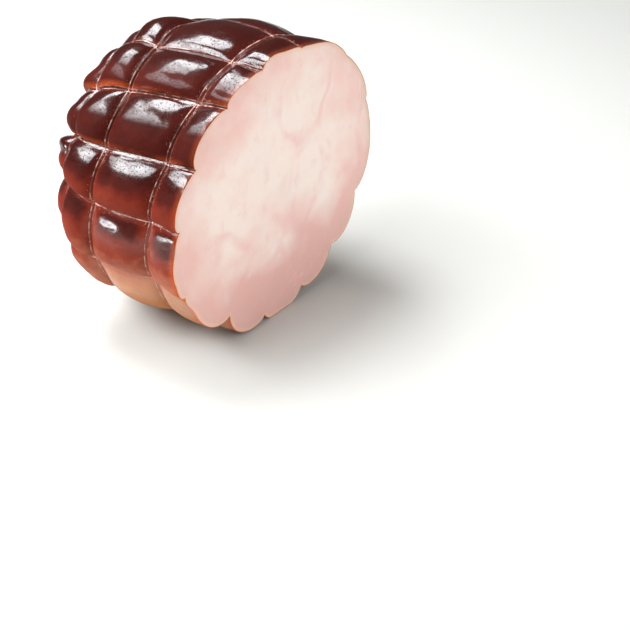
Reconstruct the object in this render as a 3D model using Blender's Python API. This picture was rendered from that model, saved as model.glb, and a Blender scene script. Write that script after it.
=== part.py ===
"""Half of a smoked ham that was cooked in a net and then cut across.

The ham lies on its side on z = 0. Its flat cut face looks along -Y and its closed, rounded end
points along +Y. The net has been taken off: each of its strings left a groove, and between the
grooves the crust swells into pillows. Lengths are metres and angles are degrees. An angle goes
round the ham as seen from the cut face: 0 is +X, 90 is the top, 180 is -X.
"""
import bpy
import bmesh
from math import acos, atan2, cos, degrees, hypot, pi, radians, sin

# The body: a nearly round section that is swept back from the cut and then closes.
HALF_WIDTH = 0.0700
HALF_HEIGHT = 0.0746
CENTRE_HEIGHT = 0.0730      # less than the half height, so the underside is pressed flat
LENGTH = 0.0895
STRAIGHT_LENGTH = 0.025     # depth behind the cut at which the body starts to close
END_FLATNESS = 5.0
END_SHOULDER = 1.36
SIDEWAYS_LEAN = -0.209      # shift towards -X for each metre of depth

# The net: 13 lengthwise strings, and hoops that run round the body.
STRINGS_AT_CUT = (18, 46, 77, 100, 121.5, 147.5, 172, 202, 236, 262, 287, 311, 336)
STRINGS_AT_MIDDLE = (19.5, 47.5, 75.5, 103, 126, 150, 172.7, 200.5, 232.5, 260.5, 287, 311.7, 337.5)
STRINGS_AT_END = (20, 48, 75, 102.5, 128, 149, 167.5, 193.5, 231, 260, 287, 312, 338)
MIDDLE_RUN = 0.050          # run from the cut at which the strings have their middle angles
END_RUN = 0.070             # run from which on they keep their end angles
GROOVE_DEPTHS = (2.0, 1.0, 1.8, 3.5, 4.5, 5.5, 5.5, 5.0, 9.0, 6.0, 6.0, 6.0, 5.0)
MILLIMETRE = 0.001

# Millimetres from the cut at which each hoop crosses angles 0, 45, 90 and so on.
HOOP_RUNS = (
    (17.0, 15.5, 14.0, 13.5, 16.7, 20.0, 20.0, 18.0),
    (50.0, 52.0, 53.0, 45.5, 47.8, 51.0, 51.0, 50.0),
    (71.0, 72.0, 71.0, 68.5, 70.5, 72.0, 72.0, 71.0),
    (93.0, 93.0, 93.0, 91.0, 92.0, 93.0, 93.0, 93.0),
    (113.0, 113.0, 113.0, 113.0, 113.0, 113.0, 113.0, 113.0),
)
HOOP_DEPTH = 0.0042
HOOP_DEPTH_AT_STRING = 0.35
CELL_BEFORE_CUT = 0.031     # the pillow that the knife went through began this far before hoop 0

# Uneven places, each as (angle, run, height, half width in degrees, half length).
SWELLINGS = (
    (73, 0.000, -0.0026, 9, 0.006),
    (87, 0.000, -0.0028, 6, 0.006),
    (109, 0.000, -0.0030, 9, 0.006),
    (173.5, 0.000, 0.0013, 4, 0.008),
    (188, 0.000, 0.0014, 18, 0.030),
    (203, 0.000, 0.0028, 5, 0.008),
    (76, 0.026, 0.0020, 18, 0.026),
    (262, 0.036, 0.0016, 24, 0.042),
    (92, 0.052, -0.0010, 16, 0.018),
    (66, 0.062, -0.0022, 13, 0.016),
    (202, 0.066, 0.0030, 8, 0.017),
    (92, 0.072, 0.0030, 8, 0.015),
    (108, 0.076, 0.0026, 6, 0.015),
    (222, 0.078, -0.0006, 14, 0.020),
    (139, 0.080, 0.0013, 6, 0.014),
    (152.5, 0.082, 0.0036, 3, 0.012),
    (125, 0.088, 0.0036, 6, 0.016),
)

# The pillows between the grooves.
PILLOW_ROUNDNESS_ACROSS = 2.0
PILLOW_FULLNESS_ACROSS = 1.5
PILLOW_ROUNDNESS_ALONG = 2.0
PILLOW_FULLNESS_ALONG = 1.5
SAG = 0.5                   # how far a pillow's crown slides down on the flanks
RELIEF_FADE = 0.3           # share of the full radius below which the grooves die out
END_DIMPLE = 0.004          # where the net was gathered
END_DIMPLE_SPREAD = 0.12

# The mesh.
COLUMNS_PER_PILLOW = 8
RINGS_PER_ROW = (4, 7, 6, 6, 5, 4)
EDGE_CROWDING = 0.5         # 0 spaces the columns evenly, 1 crowds them most into the grooves
PROFILE_STEPS = 2000

CRUST_COLOUR = (0.075, 0.016, 0.010, 1.0)
MEAT_COLOUR = (0.83, 0.60, 0.53, 1.0)


def body_profile():
    """List the body's outline as (run along the crust, depth, share of the full radius)."""
    mean_radius = (HALF_WIDTH + HALF_HEIGHT) / 2
    points = [(0.0, 0.0, 1.0), (STRAIGHT_LENGTH, STRAIGHT_LENGTH, 1.0)]
    for step in range(1, PROFILE_STEPS + 1):
        turn = radians(90) * step / PROFILE_STEPS
        closing = sin(turn) ** (2 / END_FLATNESS)
        depth = STRAIGHT_LENGTH + (LENGTH - STRAIGHT_LENGTH) * closing
        share = max(cos(turn), 0.0) ** (2 / END_SHOULDER)
        run, last_depth, last_share = points[-1]
        run += hypot(depth - last_depth, (share - last_share) * mean_radius)
        points.append((run, depth, share))
    return points


PROFILE = body_profile()
FULL_RUN = PROFILE[-1][0]


def profile_at(run):
    """Return depth and share of the full radius at a run from the cut."""
    low, high = 0, len(PROFILE) - 1
    while high - low > 1:
        middle = (low + high) // 2
        if PROFILE[middle][0] <= run:
            low = middle
        else:
            high = middle
    start, end = PROFILE[low], PROFILE[high]
    part = (run - start[0]) / (end[0] - start[0])
    return start[1] + (end[1] - start[1]) * part, start[2] + (end[2] - start[2]) * part


def profile_normal(run):
    """Return the outward direction across the crust as (along depth, along radius)."""
    if run <= STRAIGHT_LENGTH:
        return 0.0, 1.0
    reach = 0.0005
    mean_radius = (HALF_WIDTH + HALF_HEIGHT) / 2
    depth_a, share_a = profile_at(max(run - reach, 0.0))
    depth_b, share_b = profile_at(min(run + reach, FULL_RUN))
    rise = (share_b - share_a) * mean_radius
    length = hypot(depth_b - depth_a, rise)
    return -rise / length, (depth_b - depth_a) / length


def string_angle(number, run):
    """Return the angle of a lengthwise string; numbers past the last go round again."""
    lap, index = divmod(number, len(STRINGS_AT_CUT))
    first = min(run / MIDDLE_RUN, 1.0)
    second = min(max((run - MIDDLE_RUN) / (END_RUN - MIDDLE_RUN), 0.0), 1.0)
    start, middle, end = STRINGS_AT_CUT[index], STRINGS_AT_MIDDLE[index], STRINGS_AT_END[index]
    return 360 * lap + start + (middle - start) * first + (end - middle) * second


def curve_through(before, start, end, after, part):
    """Follow the smooth curve through four even places, from the second to the third."""
    pull_in = (end - before) / 2
    pull_out = (after - start) / 2
    slack_in = 3 * (end - start) - 2 * pull_in - pull_out
    slack_out = 2 * (start - end) + pull_in + pull_out
    return start + part * (pull_in + part * (slack_in + part * slack_out))


def hoop_run(number, angle):
    """Return the run at which a hoop crosses an angle; the last one is the closed end."""
    if number < 0:
        return hoop_run(0, angle) - CELL_BEFORE_CUT
    if number == len(HOOP_RUNS):
        return FULL_RUN
    runs = HOOP_RUNS[number]
    sector, part = divmod(angle % 360 / 360 * len(runs), 1)
    near = [runs[(int(sector) + step) % len(runs)] for step in (-1, 0, 1, 2)]
    return curve_through(*near, part) * MILLIMETRE


def swell(fraction, roundness, fullness):
    """Return a pillow's height, 0 at both its grooves and 1 at its crown."""
    return max(1 - abs(2 * fraction - 1) ** roundness, 0.0) ** (1 / fullness)


def smooth_step(value):
    """Turn 0 to 1 into an S-shaped 0 to 1."""
    value = min(max(value, 0.0), 1.0)
    return value * value * (3 - 2 * value)


def pressed_in(cell, fraction, row, angle, run, share):
    """Return how far the net presses the crust in below the body's own outline."""
    side = cos(radians(angle))
    drop = fraction if side < 0 else 1 - fraction
    across = swell(drop ** (1 + SAG * abs(side)), PILLOW_ROUNDNESS_ACROSS, PILLOW_FULLNESS_ACROSS)
    row_start, row_end = hoop_run(row - 1, angle), hoop_run(row, angle)
    row_fraction = (run - row_start) / (row_end - row_start)
    if row == len(HOOP_RUNS):
        row_fraction /= 2
    along = swell(row_fraction, PILLOW_ROUNDNESS_ALONG, PILLOW_FULLNESS_ALONG)

    depth_a = GROOVE_DEPTHS[cell]
    depth_b = GROOVE_DEPTHS[(cell + 1) % len(GROOVE_DEPTHS)]
    groove = (depth_a + (depth_b - depth_a) * smooth_step(fraction)) * MILLIMETRE
    hoop_share = HOOP_DEPTH_AT_STRING + (1 - HOOP_DEPTH_AT_STRING) * across
    press = groove * (1 - across) + HOOP_DEPTH * (1 - along) * hoop_share
    return press * min(share / RELIEF_FADE, 1.0)


def swollen_by(angle, run):
    """Return how far the uneven places push the crust out."""
    height = 0.0
    for centre, start, rise, half_width, half_length in SWELLINGS:
        sideways = abs((angle - centre + 180) % 360 - 180) / half_width
        height += rise * smooth_step(1 - hypot(sideways, (run - start) / half_length) / 2)
    return height


def crust_point(cell, fraction, row, row_fraction):
    """Return the point of the crust in a pillow's cell, counted by strings and by hoops."""
    angle, run = 0.0, 0.0
    for _ in range(4):          # the strings drift with the run and the hoops with the angle
        start, end = string_angle(cell, run), string_angle(cell + 1, run)
        angle = start + (end - start) * fraction
        row_start = max(hoop_run(row - 1, angle), 0.0)
        run = row_start + (hoop_run(row, angle) - row_start) * row_fraction
    run = min(run, FULL_RUN)
    depth, share = profile_at(run)
    press = pressed_in(cell, fraction, row, angle, run, share) - swollen_by(angle, run)
    along, outward = profile_normal(run)
    dimple = END_DIMPLE * max(1 - share / END_DIMPLE_SPREAD, 0.0) ** 2
    depth = max(depth - press * along - dimple, 0.0)
    width = max(HALF_WIDTH * share - press * outward, 0.0)
    height = max(HALF_HEIGHT * share - press * outward, 0.0)
    x = width * cos(radians(angle)) + SIDEWAYS_LEAN * depth
    z = CENTRE_HEIGHT + height * sin(radians(angle))
    return x, depth, max(z, 0.0)


def crowded(step, steps):
    """Space steps from 0 to 1 so that they crowd towards both ends."""
    even = step / steps
    return even + (0.5 - 0.5 * cos(pi * even) - even) * EDGE_CROWDING


def ring_places():
    """List every ring of the mesh behind the cut as (row, fraction of the row)."""
    places = [(0, 0.0)]
    for row, rings in enumerate(RINGS_PER_ROW):
        last_row = row == len(RINGS_PER_ROW) - 1
        for ring in range(1, rings if last_row else rings + 1):
            places.append((row, crowded(ring, rings)))
    return places


def shape_ham():
    """Turn a sphere's rings and columns into the ham's, and return the mesh data."""
    strings = len(STRINGS_AT_CUT)
    columns = strings * COLUMNS_PER_PILLOW
    rings = ring_places()
    segments = len(rings) + 1
    ball = bmesh.new()
    bmesh.ops.create_uvsphere(ball, u_segments=columns, v_segments=segments, radius=1.0)
    for vertex in ball.verts:
        x, y, z = vertex.co
        ring = round(acos(max(-1.0, min(1.0, z))) / pi * segments)
        column = round(degrees(atan2(y, x)) / 360 * columns) % columns
        if ring == 0:
            vertex.co = (0.0, 0.0, CENTRE_HEIGHT)
        elif ring == segments:
            vertex.co = crust_point(0, 0.0, len(HOOP_RUNS), 1.0)
        else:
            cell, step = divmod(column, COLUMNS_PER_PILLOW)
            vertex.co = crust_point(cell, crowded(step, COLUMNS_PER_PILLOW), *rings[ring - 1])
    bmesh.ops.recalc_face_normals(ball, faces=ball.faces)
    mesh = bpy.data.meshes.new("ham")
    ball.to_mesh(mesh)
    ball.free()
    return mesh


def centre_over_origin(mesh):
    """Move the mesh so that its box stands centred on the origin."""
    places = [vertex.co.copy() for vertex in mesh.vertices]
    middle_x = (min(p.x for p in places) + max(p.x for p in places)) / 2
    middle_y = (min(p.y for p in places) + max(p.y for p in places)) / 2
    for vertex in mesh.vertices:
        vertex.co.x -= middle_x
        vertex.co.y -= middle_y


def make_material(name, colour, roughness):
    """Return a plain Principled material."""
    material = bpy.data.materials.new(name)
    material.use_nodes = True
    shader = material.node_tree.nodes["Principled BSDF"]
    shader.inputs["Base Color"].default_value = colour
    shader.inputs["Roughness"].default_value = roughness
    shader.inputs["Metallic"].default_value = 0.0
    return material


def paint(mesh):
    """Give the crust and the cut face their materials and shade the crust smooth."""
    mesh.materials.append(make_material("smoked_crust", CRUST_COLOUR, 0.25))
    mesh.materials.append(make_material("cut_meat", MEAT_COLOUR, 0.45))
    for face in mesh.polygons:
        on_cut = face.normal.y < -0.999
        face.material_index = 1 if on_cut else 0
    mesh.shade_smooth()
    mesh.set_sharp_from_angle(angle=radians(60))


def build_part():
    """Model the ham in a scene that holds nothing else."""
    for old in list(bpy.data.objects):
        bpy.data.objects.remove(old, do_unlink=True)
    parts = bpy.data.collections.new("netted_ham_half")
    bpy.context.scene.collection.children.link(parts)
    mesh = shape_ham()
    centre_over_origin(mesh)
    paint(mesh)
    parts.objects.link(bpy.data.objects.new("ham", mesh))


build_part()
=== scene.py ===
# %% [markdown]
# # Half of a smoked ham that was cooked in a net
#
# The ham lies on its side. Its flat cut face looks along -Y and its closed end points along +Y.
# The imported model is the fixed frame: it says where the ham is and how large it may be. Here we
# give it the surface of the real thing: a dark, glossy crust with the marks of the net, and the
# moist pink meat of the cut. All lengths are in metres unless a comment says otherwise.

# %% The frame
from math import cos, pi, radians, sin

import bpy
import numpy as np
from mathutils import Matrix, Vector, noise
from mathutils.bvhtree import BVHTree


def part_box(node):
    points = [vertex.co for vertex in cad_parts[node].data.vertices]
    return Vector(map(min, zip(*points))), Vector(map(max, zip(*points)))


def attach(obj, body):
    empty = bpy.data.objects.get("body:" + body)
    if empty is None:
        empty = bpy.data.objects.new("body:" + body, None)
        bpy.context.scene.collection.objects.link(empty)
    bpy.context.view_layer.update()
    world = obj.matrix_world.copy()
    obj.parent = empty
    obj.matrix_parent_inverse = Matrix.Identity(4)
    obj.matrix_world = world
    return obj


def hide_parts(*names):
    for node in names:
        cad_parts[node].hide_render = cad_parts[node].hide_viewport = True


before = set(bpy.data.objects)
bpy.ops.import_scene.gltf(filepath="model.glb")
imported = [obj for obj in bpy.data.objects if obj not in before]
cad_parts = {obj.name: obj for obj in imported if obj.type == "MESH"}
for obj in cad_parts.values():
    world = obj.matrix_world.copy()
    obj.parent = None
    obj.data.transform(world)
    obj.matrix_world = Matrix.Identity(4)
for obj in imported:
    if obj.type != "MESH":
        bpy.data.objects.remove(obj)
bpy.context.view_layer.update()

box_low, box_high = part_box("ham")
print("ham's box in mm:", [round(1000 * side, 1) for side in box_high - box_low])

# %% [markdown]
# ## The body under the net
#
# A ham that is stuffed into a net takes a plain shape: a nearly round section that keeps its
# width for a short way behind the cut and then closes. We could sculpt that by hand, but a
# curve with two exponents gives the same full shoulder and lets us ask, at any *run* (the way
# along the skin from the cut), how deep we are and how wide the body is there.

# %% The body's outline
MILLIMETRE = 0.001
HALF_WIDTH = 0.0700
HALF_HEIGHT = 0.0746
CENTRE_HEIGHT = 0.0730
LENGTH = 0.0895
STRAIGHT_LENGTH = 0.025
END_FLATNESS = 5.0
END_SHOULDER = 1.36
SIDEWAYS_LEAN = -0.209
MEAN_RADIUS = (HALF_WIDTH + HALF_HEIGHT) / 2
OUTLINE_STEPS = 2001

turns = np.radians(np.linspace(0, 90, OUTLINE_STEPS))
body_depths = STRAIGHT_LENGTH + (LENGTH - STRAIGHT_LENGTH) * np.sin(turns) ** (2 / END_FLATNESS)
body_shares = np.clip(np.cos(turns), 0, None) ** (2 / END_SHOULDER)
body_depths = np.insert(body_depths, 0, 0.0)
body_shares = np.insert(body_shares, 0, 1.0)
steps_along = np.hypot(np.diff(body_depths), np.diff(body_shares) * MEAN_RADIUS)
body_runs = np.insert(np.cumsum(steps_along), 0, 0.0)
FULL_RUN = body_runs[-1]
print("run from the cut to the closed end in mm:", round(1000 * FULL_RUN, 1))

# %% The body at any run
SLOPE_REACH = 0.0005


def body_at(run):
    """Return depth, share of the full radius and the outward direction at each run."""
    depth = np.interp(run, body_runs, body_depths)
    share = np.interp(run, body_runs, body_shares)
    ahead = np.clip(run + SLOPE_REACH, 0, FULL_RUN)
    behind = np.clip(run - SLOPE_REACH, 0, FULL_RUN)
    rise = np.interp(ahead, body_runs, body_shares) - np.interp(behind, body_runs, body_shares)
    travel = np.interp(ahead, body_runs, body_depths) - np.interp(behind, body_runs, body_depths)
    length = np.hypot(rise * MEAN_RADIUS, travel)
    straight = run <= STRAIGHT_LENGTH
    along = np.where(straight, 0.0, -rise * MEAN_RADIUS / length)
    outward = np.where(straight, 1.0, travel / length)
    return depth, share, along, outward


print("share of the full radius half way:", round(float(body_at(FULL_RUN / 2)[1]), 2))

# %% [markdown]
# ## The net
#
# The net has 13 strings that run lengthwise and hoops that go round. Nothing of it is left but
# its marks. An array modifier would space them evenly, but no two meshes of a stretched net are
# alike, so each string has an angle of its own and each hoop wanders a few millimetres. A
# string's angle drifts on its way to the closed end, where the net was pulled together; a hoop's
# place is a smooth curve through eight values, one every 45 degrees.

# %% Strings
# Angles in degrees: 0 is the ham's right, seen from the cut, and 90 is its top.
STRINGS_AT_CUT = np.array((18, 46, 77, 100, 121.5, 147.5, 172, 202, 236, 262, 287, 311, 336))
STRINGS_AT_MIDDLE = np.array(
    (19.5, 47.5, 75.5, 103, 126, 150, 172.7, 200.5, 232.5, 260.5, 287, 311.7, 337.5))
STRINGS_AT_END = np.array((20, 48, 75, 102.5, 128, 149, 167.5, 193.5, 231, 260, 287, 312, 338))
MIDDLE_RUN, END_RUN = 0.050, 0.070
STRINGS = len(STRINGS_AT_CUT)


def string_angle(number, run):
    """Return the angle of each lengthwise string at each run."""
    lap, index = np.divmod(number, STRINGS)
    first = np.clip(run / MIDDLE_RUN, 0.0, 1.0)
    second = np.clip((run - MIDDLE_RUN) / (END_RUN - MIDDLE_RUN), 0.0, 1.0)
    start, middle, end = STRINGS_AT_CUT[index], STRINGS_AT_MIDDLE[index], STRINGS_AT_END[index]
    return 360 * lap + start + (middle - start) * first + (end - middle) * second


print("strings:", STRINGS)

# %% Hoops
# Millimetres from the cut at which each hoop crosses angles 0, 45, 90 and so on.
HOOP_RUNS = np.array((
    (17.0, 15.5, 14.0, 13.5, 16.7, 20.0, 20.0, 18.0),
    (50.0, 52.0, 53.0, 45.5, 47.8, 51.0, 51.0, 50.0),
    (71.0, 72.0, 71.0, 68.5, 70.5, 72.0, 72.0, 71.0),
    (93.0, 93.0, 93.0, 91.0, 92.0, 93.0, 93.0, 93.0),
    (113.0, 113.0, 113.0, 113.0, 113.0, 113.0, 113.0, 113.0),
))
HOOPS = len(HOOP_RUNS)
# The knife went through a row, so the hoop before the first one is this far back from it.
CELL_BEFORE_CUT = 0.031


def curve_through(before, start, end, after, part):
    """Follow the smooth curve through four even places, from the second to the third."""
    pull_in, pull_out = (end - before) / 2, (after - start) / 2
    slack_in = 3 * (end - start) - 2 * pull_in - pull_out
    slack_out = 2 * (start - end) + pull_in + pull_out
    return start + part * (pull_in + part * (slack_in + part * slack_out))


def hoop_run(number, angle):
    """Return the run at which each hoop crosses each angle."""
    places = HOOP_RUNS.shape[1]
    sector, part = np.divmod(angle % 360 / 360 * places, 1)
    hoop = np.clip(number, 0, HOOPS - 1)
    near = [HOOP_RUNS[hoop, (sector.astype(int) + step) % places] for step in (-1, 0, 1, 2)]
    run = curve_through(*near, part) * MILLIMETRE
    run = np.where(number < 0, run - CELL_BEFORE_CUT, run)
    return np.where(number >= HOOPS, FULL_RUN, run)


print("hoops:", HOOPS)

# %% [markdown]
# ## Pillows
#
# Between its strings the meat swells into pillows. They could be inflated with the cloth
# simulation, but a formula gives every pillow the size it has on this ham: its height is a
# superellipse from groove to groove, round on top and steep at its edges. On the flanks the soft
# meat sags, so the crown slides down towards the lower string. A few broad swellings and hollows
# make the ham as uneven as a real one.

# %% Swellings and hollows
# Uneven places, each as (angle, run, height, half width in degrees, half length). Half of the
# height is left at the half width and nothing at twice that.
SWELLINGS = (
    (73, 0.000, -0.0026, 9, 0.006),
    (87, 0.000, -0.0028, 6, 0.006),
    (109, 0.000, -0.0030, 9, 0.006),
    (173.5, 0.000, 0.0013, 4, 0.008),
    (188, 0.000, 0.0014, 18, 0.030),
    (203, 0.000, 0.0028, 5, 0.008),
    (76, 0.026, 0.0020, 18, 0.026),
    (262, 0.036, 0.0016, 24, 0.042),
    (92, 0.052, -0.0010, 16, 0.018),
    (66, 0.062, -0.0022, 13, 0.016),
    (202, 0.066, 0.0030, 8, 0.017),
    (92, 0.072, 0.0030, 8, 0.015),
    (108, 0.076, 0.0026, 6, 0.015),
    (222, 0.078, -0.0006, 14, 0.020),
    (139, 0.080, 0.0013, 6, 0.014),
    (152.5, 0.082, 0.0036, 3, 0.012),
    (125, 0.088, 0.0036, 6, 0.016),
)
print("swellings and hollows:", len(SWELLINGS))

# %% The shape of a pillow
PILLOW_ROUNDNESS, PILLOW_FULLNESS = 2.0, 1.5
# A place's angle and run depend on each other, so they are found in a few rounds.
DRIFT_ROUNDS = 4


def smooth_step(value):
    """Turn 0 to 1 into an S-shaped 0 to 1."""
    value = np.clip(value, 0.0, 1.0)
    return value * value * (3 - 2 * value)


def swell(fraction):
    """Return a pillow's height, 0 at both its grooves and 1 at its crown."""
    bulge = 1 - np.abs(2 * fraction - 1) ** PILLOW_ROUNDNESS
    return np.clip(bulge, 0.0, None) ** (1 / PILLOW_FULLNESS)


def lay_out(cell, fraction, row, row_fraction):
    """Return the angle and the run of each place in the net, as strings and hoops drift."""
    run = np.zeros(np.broadcast(cell, row).shape)
    for _ in range(DRIFT_ROUNDS):
        start, end = string_angle(cell, run), string_angle(cell + 1, run)
        angle = start + (end - start) * fraction
        row_start = np.maximum(hoop_run(row - 1, angle), 0.0)
        run = row_start + (hoop_run(row, angle) - row_start) * row_fraction
    return angle, np.minimum(run, FULL_RUN)


# %% The pressed surface
# How deep each string pressed, in millimetres, and the share of a hoop's depth left beside one.
GROOVE_DEPTHS = np.array((2.0, 1.0, 1.8, 3.5, 4.5, 5.5, 5.5, 5.0, 9.0, 6.0, 6.0, 6.0, 5.0))
HOOP_DEPTH, HOOP_DEPTH_AT_STRING = 0.0042, 0.35
SAG = 0.5
RELIEF_FADE = 0.3
END_DIMPLE, END_DIMPLE_SPREAD = 0.004, 0.12


def pillow_surface(cell, fraction, row, row_fraction):
    """Return the crust's points and what was measured on the way, as a dictionary."""
    angle, run = lay_out(cell, fraction, row, row_fraction)
    side = np.cos(np.radians(angle))
    drop = np.where(side < 0, fraction, 1 - fraction)
    across = swell(drop ** (1 + SAG * np.abs(side)))
    row_start, row_end = hoop_run(row - 1, angle), hoop_run(row, angle)
    in_row = (run - row_start) / (row_end - row_start)
    along_row = swell(np.where(row == HOOPS, in_row / 2, in_row))

    depths = GROOVE_DEPTHS[cell % STRINGS], GROOVE_DEPTHS[(cell + 1) % STRINGS]
    groove = (depths[0] + (depths[1] - depths[0]) * smooth_step(fraction)) * MILLIMETRE
    hoop_share = HOOP_DEPTH_AT_STRING + (1 - HOOP_DEPTH_AT_STRING) * across
    depth, share, along, outward = body_at(run)
    press = groove * (1 - across) + HOOP_DEPTH * (1 - along_row) * hoop_share
    press = press * np.minimum(share / RELIEF_FADE, 1.0)
    for centre, start, rise, half_width, half_length in SWELLINGS:
        sideways = np.abs((angle - centre + 180) % 360 - 180) / half_width
        away = np.hypot(sideways, (run - start) / half_length)
        press = press - rise * smooth_step(1 - away / 2)

    dimple = END_DIMPLE * np.clip(1 - share / END_DIMPLE_SPREAD, 0.0, None) ** 2
    y = np.clip(depth - press * along - dimple, 0.0, None)
    width = np.clip(HALF_WIDTH * share - press * outward, 0.0, None)
    height = np.clip(HALF_HEIGHT * share - press * outward, 0.0, None)
    x = width * np.cos(np.radians(angle)) + SIDEWAYS_LEAN * y
    z = CENTRE_HEIGHT + height * np.sin(np.radians(angle))
    return {
        "points": np.stack((x, y, np.clip(z, 0.0, None)), axis=-1),
        "share": share, "side": np.abs(side), "drop": drop, "bulge": along_row,
    }


# %% [markdown]
# ## A grid that is fine where the marks are
#
# The marks of the net are one or two millimetres wide and the pillows between them are smooth.
# A Subdivision modifier would make every face as fine as the finest, which wastes most of them.
# The columns and rings crowd towards the grooves instead: about 0.4 millimetres apart there and a
# millimetre apart on the crowns.

# %% The grid
COLUMNS_PER_PILLOW = 46
RINGS_PER_ROW = (16, 40, 28, 28, 22, 18)
CROWDING = 0.5


def crowded(even):
    """Make even places from 0 to 1 crowd towards both ends."""
    return even + (0.5 - 0.5 * np.cos(pi * even) - even) * CROWDING


columns = np.arange(STRINGS * COLUMNS_PER_PILLOW)
column_cell = (columns // COLUMNS_PER_PILLOW)[None, :]
column_fraction = crowded(columns % COLUMNS_PER_PILLOW / COLUMNS_PER_PILLOW)[None, :]
ring_row, ring_fraction = [0], [0.0]
for row, rings in enumerate(RINGS_PER_ROW):
    last = rings - 1 if row == HOOPS else rings
    ring_row += [row] * last
    ring_fraction += list(crowded(np.arange(1, last + 1) / rings))
ring_row = np.array(ring_row)[:, None]
ring_fraction = np.array(ring_fraction)[:, None]
skin = pillow_surface(column_cell, column_fraction, ring_row, ring_fraction)
print("rings and columns of the crust:", skin["points"].shape[:2])

# %% The grid's place
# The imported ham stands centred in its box, so our points move there as well.
flat_points = skin["points"].reshape(-1, 3)
middle = (flat_points.min(0) + flat_points.max(0)) / 2
SHIFT = np.array(((box_low.x + box_high.x) / 2 - middle[0], box_low.y, box_low.z))
skin["points"] = skin["points"] + SHIFT
print("moved by, in mm:", (1000 * SHIFT).round(2).tolist())

# %% [markdown]
# ## Distances on the skin
#
# The marks of the net keep their width wherever they run, so the finishes need true distances:
# how far is this point from the nearest string, from the nearest hoop and from the cut? A
# texture map could hold them, but numbers stored on the points need no unwrapping. We add up the
# steps between neighbouring points, both ways, and keep the shorter.


# %% Distances to the marks
def travelled(points, axis):
    """Add up the steps between neighbours along one axis of the grid."""
    steps = np.linalg.norm(np.diff(points, axis=axis), axis=-1)
    start = np.zeros_like(np.take(steps, [0], axis=axis))
    return np.concatenate((start, np.cumsum(steps, axis=axis)), axis=axis)


def from_nearest(way, marks, axis):
    """Return the way from the nearest marked ring or column, below 0 before it."""
    ways = np.stack([way - np.take(way, [mark], axis=axis) for mark in marks])
    choice = np.abs(ways).argmin(axis=0)
    return np.take_along_axis(ways, choice[None], axis=0)[0]


closed_round = np.concatenate((skin["points"], skin["points"][:, :1]), axis=1)
way_round = travelled(closed_round, 1)
string_columns = range(0, STRINGS * COLUMNS_PER_PILLOW + 1, COLUMNS_PER_PILLOW)
skin["past_string"] = from_nearest(way_round, string_columns, 1)[:, :-1]
way_along = travelled(skin["points"], 0)
hoop_rings = np.cumsum(RINGS_PER_ROW)[:-1]
skin["past_hoop"] = from_nearest(way_along, hoop_rings, 0)
string_gap, hoop_gap = np.abs(skin["past_string"]), np.abs(skin["past_hoop"])
skin["way_along"] = way_along
print("widest half pillow in mm:", round(1000 * float(string_gap.max()), 1))

# %% [markdown]
# ## Relief on the crust
#
# Smoked skin isn't smooth. It shrinks over the meat in broad dents, lumps and short wrinkles, and
# each string leaves a shallow valley with two fine lips. These are deep enough to break the
# light, so they are real relief and not just shading. Finer grain is left to the finish.


# %% Helpers for relief
def grid_normals(points):
    """Return the outward direction at each point of the closed grid."""
    round_the_ham = np.roll(points, -1, axis=1) - np.roll(points, 1, axis=1)
    along_the_ham = np.gradient(points, axis=0)
    normals = np.cross(round_the_ham, along_the_ham)
    lengths = np.linalg.norm(normals, axis=-1, keepdims=True)
    return -normals / np.maximum(lengths, 1e-12)


def noise_at(points, size, seed=0.0):
    """Return smooth noise of about -1 to 1, with bumps of the given size in metres."""
    spots = points.reshape(-1, 3) / size + seed
    values = [noise.noise(spot) for spot in spots.tolist()]
    return np.array(values).reshape(points.shape[:-1])


def lip(gap, place, width):
    """Return 1 on a fine line at a distance from a mark, fading to both sides."""
    return np.exp(-((gap - place) / width) ** 2)


# %% Dents, lumps, wrinkles, lips and valleys
DENT_SIZE, DENT_DEPTH = 0.014, 0.00045
LUMP_SIZE, LUMP_DEPTH = 0.0055, 0.00014
WRINKLE_SIZE, WRINKLE_DEPTH = 0.0028, 0.00009
WRINKLE_STRETCH = np.array((1.0, 0.45, 1.0))
WRINKLED_PATCH, PATCH_CONTRAST = 0.012, 1.6
STRING_HALF_WIDTH, HOOP_HALF_WIDTH = 0.0006, 0.0010
LIP_WIDTH, LIP_HEIGHT = 0.00022, 0.00012
RELIEF_NEAR_MARK = 0.0015
VALLEY_DEPTH, VALLEY_WIDTH = 0.0005, 0.0028
RELIEF_AT_CUT = 0.3

points = skin["points"]
dents = noise_at(points, DENT_SIZE) * DENT_DEPTH
lumps = noise_at(points, LUMP_SIZE, seed=7.0) * LUMP_DEPTH
wrinkles = 1 - 2 * np.abs(noise_at(points * WRINKLE_STRETCH, WRINKLE_SIZE, seed=3.0))
wrinkles = wrinkles * WRINKLE_DEPTH
wrinkled = noise_at(points, WRINKLED_PATCH, seed=11.0) * PATCH_CONTRAST + 0.5
wrinkled = smooth_step(wrinkled)
mark_gap = np.minimum(string_gap, hoop_gap)
away_from_marks = smooth_step(mark_gap / RELIEF_NEAR_MARK)
fade = np.minimum(skin["share"] / RELIEF_FADE, 1.0)
lips = lip(string_gap, STRING_HALF_WIDTH, LIP_WIDTH)
lips = np.maximum(lips, lip(hoop_gap, HOOP_HALF_WIDTH, LIP_WIDTH))
valleys = np.exp(-(mark_gap / VALLEY_WIDTH) ** 2) * VALLEY_DEPTH
relief = (dents + lumps + wrinkles * wrinkled) * away_from_marks + lips * LIP_HEIGHT - valleys
relief *= fade
relief[0] *= RELIEF_AT_CUT
crust_points = points + grid_normals(points) * relief[..., None]
crust_points[0, :, 1] = box_low.y
crust_points[..., 1] = np.maximum(crust_points[..., 1], box_low.y)
crust_points[..., 2] = np.maximum(crust_points[..., 2], box_low.z)
print("relief in mm:", round(1000 * float(relief.min()), 2), round(1000 * float(relief.max()), 2))

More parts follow.
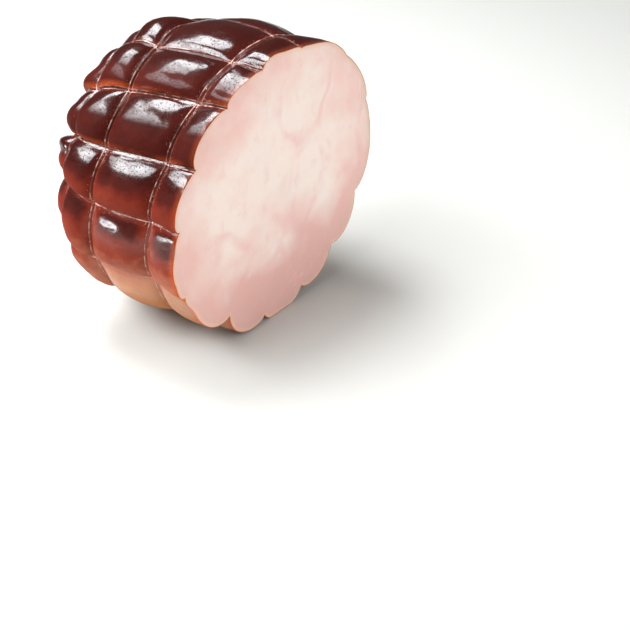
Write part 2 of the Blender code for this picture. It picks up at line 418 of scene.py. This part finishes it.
# %% [markdown]
# ## From rings to closed pieces
#
# Crust and meat are both stacks of rings with a tip at each end, as a globe is, so one function
# builds them. The crust is a skin with a thickness: its rings run over the outside, turn in at
# the cut as the rind's narrow edge, and run back inside. A Solidify modifier would thicken it
# too, but it would double every fine face for an inner wall that nobody sees, so that wall has
# only a few rings. The meat is a full solid behind the cut, so that light can travel in it as it
# does in real meat.


# %% Closed skins
def closed_skin(name, first_tip, rings, last_tip):
    """Make a mesh object from rings of points with a tip before the first and after the last."""
    count, around = rings.shape[:2]
    points = np.concatenate(([first_tip], rings.reshape(-1, 3), [last_tip]))
    here = np.arange(around)
    beside = (here + 1) % around
    first, last = 1, 1 + (count - 1) * around
    faces = [(0, first + b, first + a) for a, b in zip(here, beside)]
    for ring in range(count - 1):
        low, high = 1 + ring * around, 1 + (ring + 1) * around
        faces += [(low + a, low + b, high + b, high + a) for a, b in zip(here, beside)]
    faces += [(last + a, last + b, len(points) - 1) for a, b in zip(here, beside)]
    mesh = bpy.data.meshes.new(name)
    mesh.from_pydata(points.tolist(), [], np.array(faces, dtype=object).tolist())
    mesh.update()
    piece = bpy.data.objects.new(name, mesh)
    bpy.context.scene.collection.objects.link(piece)
    return piece


def give_values(piece, name, values):
    """Store one number for each point of a piece, for its finish to read."""
    attribute = piece.data.attributes.new(name, "FLOAT", "POINT")
    attribute.data.foreach_set("value", np.asarray(values, np.float32).ravel())


# %% The inner wall
RIND_THICKNESS = 0.0008
WALL_THICKNESS = 0.0014
INNER_GAP = 0.0001
NEIGHBOURS = 3


def drawn_in(ring, distance):
    """Move a flat ring of points inwards within its own plane."""
    ahead = np.roll(ring, -NEIGHBOURS, axis=0) - np.roll(ring, NEIGHBOURS, axis=0)
    inward = np.stack((-ahead[:, 2], np.zeros(len(ring)), ahead[:, 0]), axis=-1)
    inward /= np.linalg.norm(inward, axis=-1, keepdims=True)
    return ring + inward * distance


# Pillows bulge, so an inner wall that is straight from groove to crown stays inside them.
row_ends = np.cumsum(RINGS_PER_ROW)[:-1]
row_middles = np.cumsum(RINGS_PER_ROW) - np.array(RINGS_PER_ROW) // 2
inner_steps = np.sort(np.concatenate((row_ends, row_middles)))
inner_normals = grid_normals(points)[inner_steps]
INNER_RINGS = len(inner_steps)


def inside(distance):
    """Return the few rings of the crust's inner wall, a distance under the surface."""
    return crust_points[inner_steps] - inner_normals * distance


print("rings of the inner wall:", INNER_RINGS)

# %% The crust
last_place = (np.array([[number]]) for number in (0, 0.0, HOOPS, 1.0))
outer_tip = pillow_surface(*last_place)["points"][0, 0] + SHIFT
inner_tip = outer_tip - np.array((0, RIND_THICKNESS, 0))
cut_outline = crust_points[0]
meat_outline = drawn_in(cut_outline, RIND_THICKNESS)

crust_rings = np.concatenate((inside(WALL_THICKNESS)[::-1], [meat_outline], crust_points))
crust = closed_skin("crust", inner_tip, crust_rings, outer_tip)
hidden_rings = INNER_RINGS + 1
skin["mark_gap"] = mark_gap
for value in ("mark_gap", "past_string", "past_hoop", "way_along", "drop", "side", "bulge"):
    hidden = np.repeat(skin[value][:1], hidden_rings, axis=0)
    seen = np.concatenate((hidden, skin[value]))
    give_values(crust, value, np.concatenate(([0.0], seen.ravel(), [0.0])))
rind_edge = np.zeros((hidden_rings + len(crust_points), len(columns)))
rind_edge[:hidden_rings] = 1.0
give_values(crust, "rind_edge", np.concatenate(([1.0], rind_edge.ravel(), [0.0])))
print("crust faces:", len(crust.data.polygons))

# %% The meat
MEAT_RINGS = 60
# A knife leaves a slow sway and a finer ripple. Both end at the rim, a twelfth of the way in.
SWAY_SIZE, SWAY_DEPTH = 0.020, 0.00025
RIPPLE_SIZE, RIPPLE_DEPTH = 0.006, 0.00008
LEVEL_RIM = 12
CENTRE_TO_RIM = 0.07

meat_centre = np.array((cut_outline[:, 0].mean(), box_low.y, cut_outline[:, 2].mean()))
steps = (np.arange(1, MEAT_RINGS) / MEAT_RINGS)[:, None, None]
disc = meat_centre + (meat_outline - meat_centre) * steps
sway = noise_at(disc, SWAY_SIZE, seed=5.0) * SWAY_DEPTH
sway = sway + noise_at(disc, RIPPLE_SIZE, seed=9.0) * RIPPLE_DEPTH
disc[..., 1] += sway * smooth_step((1 - steps[..., 0]) * LEVEL_RIM)
meat_rings = np.concatenate((disc, [meat_outline], inside(WALL_THICKNESS + INNER_GAP)))
deep_tip = inner_tip - np.array((0, INNER_GAP, 0))
meat = closed_skin("cut_meat", meat_centre, meat_rings, deep_tip)
rim_gap = np.linalg.norm(disc - meat_outline, axis=-1)
rim_values = np.concatenate((rim_gap, np.zeros((1 + INNER_RINGS, len(columns)))))
give_values(meat, "rim_gap", np.concatenate(([CENTRE_TO_RIM], rim_values.ravel(), [0.0])))
print("meat faces:", len(meat.data.polygons))

# %% Smooth faces and sharp edges
SHARP_ANGLE = radians(50)

for piece in (crust, meat):
    piece.data.shade_smooth()
    piece.data.set_sharp_from_angle(angle=SHARP_ANGLE)
print("smooth pieces:", crust.name, meat.name)

# %% [markdown]
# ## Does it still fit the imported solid?
#
# The relief must not carry the surface away from the solid that it stands for. A Shrinkwrap
# modifier could hold it there, but would flatten the relief. Measuring is enough: how far does
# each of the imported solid's points lie from the nearest place on the fine surfaces?


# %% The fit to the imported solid
def surface_of(piece):
    """Return a piece's faces in a form that finds the nearest place on them."""
    corners = [vertex.co for vertex in piece.data.vertices]
    return BVHTree.FromPolygons(corners, [face.vertices for face in piece.data.polygons])


fine_surfaces = [surface_of(piece) for piece in (crust, meat)]
solid_points = [vertex.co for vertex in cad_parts["ham"].data.vertices]
gaps = [min(fine.find_nearest(p)[3] for fine in fine_surfaces) for p in solid_points]
print("packed solid to visual surface in mm, middle and most:",
      round(1000 * float(np.median(gaps)), 2), round(1000 * max(gaps), 2))

# %% [markdown]
# ## Shader formulas
#
# A finish is a sum of masks and colours, and it reads best as one. Nodes could be placed and
# linked one by one, but a long formula would then fill pages. `Wire` wraps a socket of a
# material's node tree so that we can write `1 - mask` or `height - 0.027`: each operator adds
# the Math node that it means. Colours are mixed with `blended`, because a Math node would turn
# them grey. Every other node comes from `Wire.node`, which takes a node's type, its settings and
# the values or links of its sockets. `Finish` holds a material and the sources that its formulas
# start from.


# %% The Wire class
class Wire:
    """A socket of a node tree, used as a term in a formula."""

    def __init__(self, socket):
        self.socket = socket

    @classmethod
    def node(cls, tree, kind, settings=None, values=None, output=0):
        """Add a node, with its settings first and then what its sockets hold."""
        node = tree.nodes.new(kind)
        for name, setting in (settings or {}).items():
            if name == "stops":
                cls.set_stops(node.color_ramp, setting)
            else:
                setattr(node, name, setting)
        for key, value in (values or {}).items():
            cls.feed(tree, node.inputs[key], value)
        return cls(node.outputs[output])

    @staticmethod
    def set_stops(ramp, stops):
        """Give a colour ramp its stops, each as (place, colour)."""
        while len(ramp.elements) < len(stops):
            ramp.elements.new(0.5)
        for element, (place, colour) in zip(ramp.elements, stops):
            element.position = place
            element.color = (*colour, 1.0)

    @staticmethod
    def feed(tree, socket, value):
        """Link a wire to a socket, or store a plain value in it."""
        if isinstance(value, Wire):
            tree.links.new(value.socket, socket)
        elif socket.type == "RGBA" and len(value) == 3:
            socket.default_value = (*value, 1.0)
        else:
            socket.default_value = value

    def maths(self, operation, *terms, clamp=False):
        """Add one Math node that works on the given terms, wires or numbers."""
        settings = {"operation": operation, "use_clamp": clamp}
        return Wire.node(self.socket.id_data, "ShaderNodeMath", settings, dict(enumerate(terms)))

    def __add__(self, other):
        return self.maths("ADD", self, other)

    def __sub__(self, other):
        return self.maths("SUBTRACT", self, other)

    def __rsub__(self, other):
        return self.maths("SUBTRACT", other, self)

    def __mul__(self, other):
        return self.maths("MULTIPLY", self, other)

    __radd__, __rmul__ = __add__, __mul__

    def clamped(self):
        """Keep the value between 0 and 1."""
        return self.maths("ADD", self, 0.0, clamp=True)

    def least(self, other):
        """Return the smaller of two values."""
        return self.maths("MINIMUM", self, other)

    def most(self, other):
        """Return the larger of two values."""
        return self.maths("MAXIMUM", self, other)

    def size(self):
        """Return the value without its sign."""
        return self.maths("ABSOLUTE", self)

    def rise(self, start, end):
        """Return 0 before start and 1 after end, with a smooth rise between them."""
        values = {"Value": self, "From Min": start, "From Max": end}
        return Wire.node(
            self.socket.id_data, "ShaderNodeMapRange", {"interpolation_type": "SMOOTHSTEP"}, values)


# %% The Finish class
# A Mix node has sockets for each kind of data. These are the places of the ones for colours.
MIX_MASK, MIX_FIRST, MIX_SECOND, MIX_RESULT = 0, 6, 7, 2


class Finish:
    """A material with the sources that its formulas read."""

    def __init__(self, name):
        self.material = bpy.data.materials.new(name)
        self.material.use_nodes = True
        self.tree = self.material.node_tree
        self.shader = self.tree.nodes["Principled BSDF"]
        self.place = self.node("ShaderNodeTexCoord", output="Object")

    def node(self, kind, settings=None, values=None, output=0):
        """Add a node to this finish."""
        return Wire.node(self.tree, kind, settings, values, output)

    def value(self, name):
        """Read a number that the mesh stores for each of its points."""
        return self.node("ShaderNodeAttribute", {"attribute_name": name}, output="Fac")

    def height(self):
        """Read the height above the ground in metres."""
        return self.node("ShaderNodeSeparateXYZ", None, {"Vector": self.place}, "Z")

    def grain(self, size, detail=3.0, roughness=0.5, stretch=(1, 1, 1), shift=0, tilt=0.0):
        """Return noise of 0 to 1 with bumps of a size in metres, longer where stretch is over 1."""
        scale = tuple(size * longer for longer in stretch)
        place = (size * shift, -size * shift, 2 * size * shift)
        values = {"Vector": self.place, "Scale": scale, "Location": place, "Rotation": (0, tilt, 0)}
        spot = self.node("ShaderNodeMapping", {"vector_type": "TEXTURE"}, values)
        values = {"Vector": spot, "Scale": 1.0, "Detail": detail, "Roughness": roughness}
        return self.node("ShaderNodeTexNoise", None, values)

    def blended(self, mask, first, second):
        """Return the first colour where the mask is 0 and the second where it is 1."""
        values = {MIX_MASK: mask, MIX_FIRST: first, MIX_SECOND: second}
        settings = {"data_type": "RGBA", "blend_type": "MIX"}
        return self.node("ShaderNodeMix", settings, values, MIX_RESULT)

    def bumped(self, height, depth, below=None):
        """Return normals for a relief of 0 to 1 that is so deep in metres."""
        values = {"Height": height, "Distance": depth, "Strength": 1.0}
        if below is not None:
            values["Normal"] = below
        return self.node("ShaderNodeBump", None, values)

    def set(self, **values):
        """Set the shader's sockets by name, with underscores for spaces."""
        for name, value in values.items():
            Wire.feed(self.tree, self.shader.inputs[name.replace("_", " ")], value)

    def tell(self, part):
        """Print how large the finish has grown with a part of it."""
        print(f"{self.material.name} with {part}: {len(self.tree.nodes)} nodes")


# %% [markdown]
# ## The crust's finish
#
# The net has parted the skin into pillows, and nearly everything about its colour follows from
# where on a pillow a place lies. So the finish starts by reading what the mesh stores: `drop`
# goes from 0 at a pillow's upper string to 1 at its lower one, `side` from 0 on top of the ham
# to 1 on its flank, and `bulge` from 0 at a hoop to 1 between two hoops. The others are ways in
# metres: to a mark, past a string or a hoop, and from the cut.

# %% What the crust's finish reads
crust_finish = Finish("smoked_crust")
grain, blended = crust_finish.grain, crust_finish.blended
drop, side, bulge = (crust_finish.value(name) for name in ("drop", "side", "bulge"))
past_string, past_hoop = crust_finish.value("past_string"), crust_finish.value("past_hoop")
to_mark, from_cut = crust_finish.value("mark_gap"), crust_finish.value("way_along")
true_height = crust_finish.height()
crust_finish.tell("its sources")

# %% [markdown]
# ## Smoke
#
# Smoke and sugar turn the skin nearly black on top, where they reach it best. It gets redder
# down the flanks and stays tan near the ground. The swollen middle of a pillow takes more of it
# than the part that rolls under. Several colours could be mixed over each other, but one number
# that says how much smoke a place took, and one ramp that turns it into colour, are easier to
# tune. Noise is added to the height and to the edges, so that no band runs level.

# %% Puffs: the parts of a pillow that face the smoke
WAVY_BANDS, BAND_NOISE = 0.018, 0.022
FLANK_TO_TOP = 0.060, 0.116
STEEP = 0.10, 0.50

height = true_height + (grain(BAND_NOISE) - 0.5) * WAVY_BANDS
level = height.rise(*FLANK_TO_TOP)
wavy_drop = drop + (grain(0.009, shift=6) - 0.5) * 0.40
sunk = wavy_drop.rise(level * 0.18 + 0.02, level * 0.20 + 0.62)
wavy_bulge = bulge + (grain(0.012, shift=8) - 0.5) * 0.6
puff = wavy_bulge.rise(0.30 - level * 0.10, 0.95)
puff = puff * drop.rise(0.0, 0.14) * (1 - sunk * side.rise(*STEEP))
crust_finish.tell("puffs")

# %% How much smoke a place took
# Smoke grows with height from SMOKE_START over SMOKE_SPAN, up to SMOKE_ON_TOP.
SMOKE_START, SMOKE_SPAN, SMOKE_ON_TOP = 0.027, 0.084, 0.70
# Heights between which a change fades out or sets in, for the rows of pillows from the lowest up.
FOOT_ENDS, LOWEST_ROW_ENDS, LOW_ROWS_END = (0.036, 0.062), (0.040, 0.080), (0.098, 0.116)
PUFFS_DARKEN, UNDERSIDES_REDDEN = (0.044, 0.062), (0.078, 0.086)
# Ways from the cut: where the strip beside it, painted paler as glow along the cut, ends, and where
# the darker far part begins.
GLOW_BESIDE_CUT, FAR_FROM_CUT = (0.002, 0.012), (0.040, 0.060)
MOTTLE_SIZE, MOTTLE_STRENGTH = 0.004, 0.12

smoke = ((height - SMOKE_START) * (SMOKE_ON_TOP / SMOKE_SPAN)).clamped().least(SMOKE_ON_TOP)
redder = drop.rise(0.30, 0.85) * side.rise(*STEEP) * 0.08
smoke = smoke - redder * true_height.rise(*UNDERSIDES_REDDEN) * (1 - height.rise(*LOW_ROWS_END))
smoke = smoke + puff * (true_height.rise(*PUFFS_DARKEN) * 0.38)
smoke = smoke + (grain(MOTTLE_SIZE, shift=5) - 0.5) * MOTTLE_STRENGTH
far = from_cut.rise(*FAR_FROM_CUT)
smoke = smoke + far * 0.13 * (1 - height.rise(*FOOT_ENDS))
# Beside the cut the lower rows take less smoke colour: painted glow along the cut.
smoke = smoke - (1 - from_cut.rise(*GLOW_BESIDE_CUT)) * 0.04 * (1 - height.rise(*LOWEST_ROW_ENDS))
crust_finish.tell("smoke")

# %% Smoke colours
TAN = (0.410, 0.1600, 0.0640)
EMBER = (0.360, 0.1150, 0.0660)
RED_BROWN = (0.185, 0.0290, 0.0155)
WINE = (0.125, 0.0150, 0.0075)
MAHOGANY = (0.048, 0.0060, 0.0040)
DARK = (0.025, 0.0035, 0.0024)
SMOKE_STOPS = (
    (0.06, TAN), (0.17, EMBER), (0.30, RED_BROWN), (0.48, WINE), (0.66, MAHOGANY), (0.92, DARK))

colour = crust_finish.node("ShaderNodeValToRGB", {"stops": SMOKE_STOPS}, {"Fac": smoke})
crust_finish.tell("smoke colours")

# %% [markdown]
# ## Thin skin that glows
#
# Where a pillow rolls under towards its lower string the skin is thin and glows orange, and so
# it does along the cut, more so near the ground. Scattering light below the surface would show
# this too, but a skin over other meat has no even depth to scatter in, so the glow is painted.

# %% Glow
GLOW = (0.480, 0.0750, 0.0150)
NEAR_GROUND = 0.03, 0.11
ROLLS_UNDER, FLANK = (0.88, 0.99), (0.10, 0.6)
GLOWING_RIM = 0.0035

uneven = grain(0.013, shift=9).rise(0.35, 0.70)
lower = 1 - height.rise(*NEAR_GROUND)
under = drop.rise(*ROLLS_UNDER) * side.rise(*FLANK)
colour = blended(under * (0.03 + uneven * 0.32 + far * 0.30 + lower * 0.25), colour, GLOW)
rim = 1 - from_cut.rise(0.0, GLOWING_RIM)
colour = blended(rim * (0.15 + lower * 0.65), colour, GLOW)
crust_finish.tell("glow")

# %% [markdown]
# ## The marks of the net
#
# Each string kept the smoke off a narrow band, which is painted orange: partly the skin's own
# colour and partly painted glow, more so near the ground. Along both edges runs a fine pale line,
# partly the skin's own paler colour and partly a painted highlight on the crease. The line past a
# string is stronger than the one before it, and noise breaks both up. Small pale specks near the
# marks are painted glints. An image could hold them, but the stored ways past the nearest string
# and hoop give lines that are as fine as we like.

# %% String marks
# Pale colour for the lines, partly the skin's own and partly painted highlight, and for the painted
# glints.
STRING_PINK = (0.720, 0.4600, 0.4000)
BAND_EDGE = 0.0004, 0.0012
EDGE_BEFORE, EDGE_PAST = (0.00005, 0.00030), (0.00005, 0.00038)
LINE_END = 0.0020, 0.0030
LINE_BREAK_SIZE, GLINT_SPECK_SIZE = 0.0032, 0.0007
GLINT_SPECKS_NEAR_MARK = 0.001, 0.004

# Noise breaks up the strength of the pale lines along their length.
line_breaks = grain(LINE_BREAK_SIZE, shift=5).rise(0.42, 0.62)
# The orange band along each mark is partly unsmoked skin and partly painted glow, stronger near the
# ground.
band = 1 - to_mark.rise(*BAND_EDGE)
colour = blended(band * (0.08 + lower * 0.30), colour, EMBER)
before = (past_hoop + HOOP_HALF_WIDTH).size().least((past_string + STRING_HALF_WIDTH).size())
past = (past_hoop - HOOP_HALF_WIDTH).size().least((past_string - STRING_HALF_WIDTH).size())
# The fine pale line at each edge of a mark is partly own colour and partly painted highlight; the
# one past the mark is stronger.
line_before, line_past = 1 - before.rise(*EDGE_BEFORE), 1 - past.rise(*EDGE_PAST)
line = (line_past * (0.10 + line_breaks * 0.70)).most(line_before * (0.04 + line_breaks * 0.28))
colour = blended(line * (1 - to_mark.rise(*LINE_END)), colour, STRING_PINK)
# Pale specks near the marks are painted glints.
glint_speck = grain(GLINT_SPECK_SIZE, 1.0, 0.5, shift=2).rise(0.70, 0.76)
glint_speck = glint_speck * (1 - to_mark.rise(*GLINT_SPECKS_NEAR_MARK))
colour = blended(glint_speck * 0.7, colour, STRING_PINK)
crust_finish.tell("string marks")

# %% The rind's edge
# On the cut the rind is paler than the smoked outside.
PEACH = (0.850, 0.480, 0.340)

colour = blended(crust_finish.value("rind_edge").rise(0.05, 0.50), colour, PEACH)
crust_finish.tell("the rind's edge")

# %% [markdown]
# ## Film of fat
#
# A thin film of fat makes the crust shine. It lies on the upper half of each pillow, has run off
# the lower half on the flanks, and has pores. A glossy surface could stand for it, but the skin
# under the film is dull, so the film is the shader's coat, and its weight says where it lies.
# Grain and pits that are too fine for the mesh are bumps.

# %% Grain and pits
GRAIN_SIZE, GRAIN_DEPTH = 0.0030, 0.00025
PIT_SIZE, PIT_DEPTH = 0.0009, 0.00016

normal = crust_finish.bumped(grain(GRAIN_SIZE, 1.0, 0.5, shift=2), GRAIN_DEPTH)
normal = crust_finish.bumped(grain(PIT_SIZE, 3.0, 0.55), PIT_DEPTH, normal)
crust_finish.tell("grain and pits")

# %% Film and gloss
# The film ends this far down a pillow and this far round the flank.
ENDS_DOWN, ENDS_ROUND = (0.34, 0.56), (0.25, 0.60)
FAR_ROWS_SHINE = 0.080, 0.096
UPPER_ROWS_SHINE = 0.074, 0.088
PORE_SIZE, PATCH_SIZE = 0.0009, 0.0030

dull = drop.rise(*ENDS_DOWN) * side.rise(*ENDS_ROUND)
dull = dull.most(far * (1 - height.rise(*FAR_ROWS_SHINE)))
pores = grain(PORE_SIZE, 2.0, 0.6, shift=4).rise(0.54, 0.62)
patchy = grain(PATCH_SIZE, 2.0, 0.5, (1.0, 2.2, 1.0), 1).rise(0.36, 0.56)
film = (1 - dull) * (0.70 + patchy * 0.30) * (1 - pores * 0.70)
film = film * (0.80 + true_height.rise(*UPPER_ROWS_SHINE) * 0.20)
roughness = 0.17 + dull * 0.33 + grain(0.006, shift=1) * 0.08
crust_finish.set(
    Base_Color=colour, Roughness=roughness, Normal=normal, Coat_Weight=film,
    Coat_Roughness=0.13, Specular_IOR_Level=0.04, Specular_Tint=(1.0, 0.80, 0.74))
crust.data.materials.append(crust_finish.material)
crust_finish.tell("film")

# %% [markdown]
# ## The meat's finish
#
# Cooked ham is creamy in the middle of the cut and a deeper pink towards the rim. Towards the
# ground it is painted a darker rose, partly its own deeper pink and partly painted shade. Light
# goes a few millimetres into it, which softens every shade. A surface colour alone
# would look like painted card, so the material scatters light below the surface. Soft darker
# mottles show where muscles meet, and faint streaks follow the grain and the knife.

# %% Pink and cream
CREAM = (0.860, 0.725, 0.660)
PINK = (0.805, 0.500, 0.445)
SHADED_ROSE = (0.700, 0.400, 0.350)
ROSY_SHADE_BELOW = 0.010, 0.085
RIM_TO_CREAM = 0.001, 0.040

meat_finish = Finish("cut_meat")
grain, blended = meat_finish.grain, meat_finish.blended
to_rim = meat_finish.value("rim_gap")
# Towards the ground the cut is painted rosier and darker: partly its own pink, partly painted
# shade.
rosy_and_shaded = 1 - meat_finish.height().rise(*ROSY_SHADE_BELOW)
creamy = to_rim.rise(*RIM_TO_CREAM) * 0.85 + (grain(0.026, 2.0) - 0.5) * 2.2 + 0.30 - rosy_and_shaded
colour = blended(creamy.clamped(), blended(rosy_and_shaded * 0.9, PINK, SHADED_ROSE), CREAM)
meat_finish.tell("pink and cream")

# %% Seams and mottles
# Where two muscles meet runs a soft deeper line, and smaller mottles lie between.
DEEP_PINK = (0.760, 0.420, 0.400)
SEAM_SIZE, SEAM_WIDTH, SEAM_BREAKS = 0.040, 0.045, 0.020
MEAT_MOTTLE = 0.0075

seam = grain(SEAM_SIZE, 2.0, 0.4, (1.0, 1.0, 1.5), 6) - 0.5
seam = (1 - seam.size().rise(0.0, SEAM_WIDTH)) * grain(SEAM_BREAKS, shift=8).rise(0.40, 0.62)
colour = blended(seam * 0.45, colour, DEEP_PINK)
mottle = grain(MEAT_MOTTLE, 4.0, 0.6, (1.0, 1.0, 1.4), 4).rise(0.52, 0.74)
colour = blended(mottle * 0.30, colour, DEEP_PINK)
meat_finish.tell("seams and mottles")

# %% Strokes and nicks
# Short pale strokes of fat lie aslant, with a few fine dark ones left by the knife.
STROKE_WIDTH, STROKE_TILT = 0.0011, radians(38)
NICK_WIDTH, NICK_TILT = 0.0010, radians(40)

stroke = grain(STROKE_WIDTH, 2.0, 0.5, (1.0, 1.0, 6.0), 1, STROKE_TILT).rise(0.60, 0.78)
stroke = stroke * grain(0.016, shift=7).rise(0.45, 0.65)
colour = blended(stroke * 0.60, colour, CREAM)
nick = grain(NICK_WIDTH, 1.0, 0.5, (1.0, 1.0, 7.0), 3, NICK_TILT).rise(0.74, 0.82)
colour = blended(nick * 0.40, colour, DEEP_PINK)
meat_finish.tell("strokes and nicks")

# %% Rim and moisture
RIM_EDGE = 0.0002, 0.0022
FIBRE_SIZE, FIBRE_DEPTH = 0.0022, 0.00022
SCATTER_DEPTH = 0.004

colour = blended((1 - to_rim.rise(*RIM_EDGE)) * 0.6, colour, PEACH)
normal = meat_finish.bumped(grain(FIBRE_SIZE, 4.0, 0.6, (1, 1, 3)), FIBRE_DEPTH)
roughness = 0.36 + grain(0.005, shift=6) * 0.2
meat_finish.set(
    Base_Color=colour, Roughness=roughness, Normal=normal, Subsurface_Weight=0.6,
    Subsurface_Radius=(1.0, 0.35, 0.25), Subsurface_Scale=SCATTER_DEPTH, Coat_Weight=0.15,
    Coat_Roughness=0.3, Specular_IOR_Level=0.5)
meat.data.materials.append(meat_finish.material)
meat_finish.tell("rim and moisture")

# %% [markdown]
# ## Where the pieces belong
#
# Both pieces stand for the imported ham and move with its only body: each is parented to an empty
# that stands for that body, and the imported ham is hidden. Beside each piece the name of its
# finish is printed.

# %% Riding on the body
for piece, slot in ((crust, "smoked_crust"), (meat, "cut_meat")):
    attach(piece, "root")
    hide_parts("ham")
    print(piece.name, "takes its finish from", slot)

# %% [markdown]
# ## The camera
#
# The camera looks down on the ham from the side of the cut. Its place could be found by turning
# it until the view looks right. Three angles and an eye point say the same thing in numbers that
# can be read again: `away`, `to_right` and `up` are its level directions, and the lights are
# hung by them too.

# %% Camera
VIEW_AZIMUTH, VIEW_PITCH, VIEW_ROLL = radians(-50.85), radians(38.23), radians(1.77)
EYE = Vector((-0.4310, -0.4240, 0.4550))
LENS, SENSOR = 83.9, 36.0
NEAREST, FARTHEST = 0.01, 50.0
away = Vector((-sin(VIEW_AZIMUTH), cos(VIEW_AZIMUTH), 0))
to_right = Vector((cos(VIEW_AZIMUTH), sin(VIEW_AZIMUTH), 0))
up = Vector((0, 0, 1))

forward = away * cos(VIEW_PITCH) - up * sin(VIEW_PITCH)
level_up = to_right.cross(forward)
right = to_right * cos(VIEW_ROLL) + level_up * sin(VIEW_ROLL)
top = level_up * cos(VIEW_ROLL) - to_right * sin(VIEW_ROLL)
camera_data = bpy.data.cameras.new("camera")
camera_data.lens, camera_data.sensor_width = LENS, SENSOR
camera_data.clip_start, camera_data.clip_end = NEAREST, FARTHEST
camera = bpy.data.objects.new("camera", camera_data)
turned = Matrix((right, top, -forward)).transposed().to_4x4()
camera.matrix_world = Matrix.Translation(EYE) @ turned
bpy.context.scene.collection.objects.link(camera)
bpy.context.scene.camera = camera
print("camera to ham in mm:", round(1000 * (EYE - Vector((0, 0, box_high.z / 2))).length))

# %% [markdown]
# ## Floor and light
#
# The ham lies on a plain pale floor. A sheet that curves up behind it would do as well, but from
# above only the floor shows. Large soft lights keep every shade gentle and leave one broad
# highlight on a pillow. A small weak one, low beside the crust, picks out the lower rows. They
# are placed by where they stand from the camera: to the right, away from it and up.

# %% Floor
FLOOR_SIZE, FLOOR_GAP = 8.0, 0.0002

bpy.ops.mesh.primitive_plane_add(size=FLOOR_SIZE, location=(0, 0, box_low.z - FLOOR_GAP))
floor = bpy.context.object
floor.name = "floor"
floor_finish = Finish("pale_floor")
floor_finish.set(Base_Color=(0.46, 0.450, 0.425), Roughness=0.6, Specular_IOR_Level=0.3)
floor.data.materials.append(floor_finish.material)
print("floor's side in m:", FLOOR_SIZE)

# %% Lights
HAM_MIDDLE = Vector((0, 0, 0.075))
COOL = (0.93, 0.97, 1.0)
WHITE = (1, 1, 1)


def softbox(name, way, distance, size, power, colour, spread):
    """Hang a rectangular light in a way told from the camera, facing the ham."""
    beside, beyond, above = way
    direction = (to_right * beside + away * beyond + up * above).normalized()
    light = bpy.data.lights.new(name, "AREA")
    light.shape, light.size, light.size_y = "RECTANGLE", size[0], size[1]
    light.energy, light.color, light.spread = power, colour, radians(spread)
    lamp = bpy.data.objects.new(name, light)
    lamp.location = HAM_MIDDLE + direction * distance
    lamp.rotation_euler = direction.to_track_quat("Z", "Y").to_euler()
    lamp.visible_camera = False
    bpy.context.scene.collection.objects.link(lamp)
    print(name, "in W:", power)


# Each with its way, distance, size, power in watts, colour and spread in degrees.
softbox("top_softbox", (-0.29, 0.28, 0.92), 0.8, (0.44, 0.42), 5.3, COOL, 120)
softbox("left_softbox", (-0.64, -0.25, 0.75), 0.8, (0.90, 0.32), 4.8, COOL, 90)
softbox("low_softbox", (-0.91, -0.42, -0.06), 0.5, (0.16, 0.10), 0.080, COOL, 40)
softbox("front_fill", (0.85, -0.35, 0.55), 1.3, (1.1, 1.1), 13.6, WHITE, 180)

# %% The room's own light
SKY_COLOUR, SKY_STRENGTH = (0.95, 0.97, 1.0), 0.09

world = bpy.data.worlds.new("studio")
bpy.context.scene.world = world
world.use_nodes = True
sky = world.node_tree.nodes["Background"]
sky.inputs["Color"].default_value = (*SKY_COLOUR, 1.0)
sky.inputs["Strength"].default_value = SKY_STRENGTH
bpy.context.scene.view_settings.view_transform = "Standard"
print("sky strength:", SKY_STRENGTH)

# %% [markdown]
# ## The end
#
# Nothing more is added to the scene.

# %% The end
print("scene built")
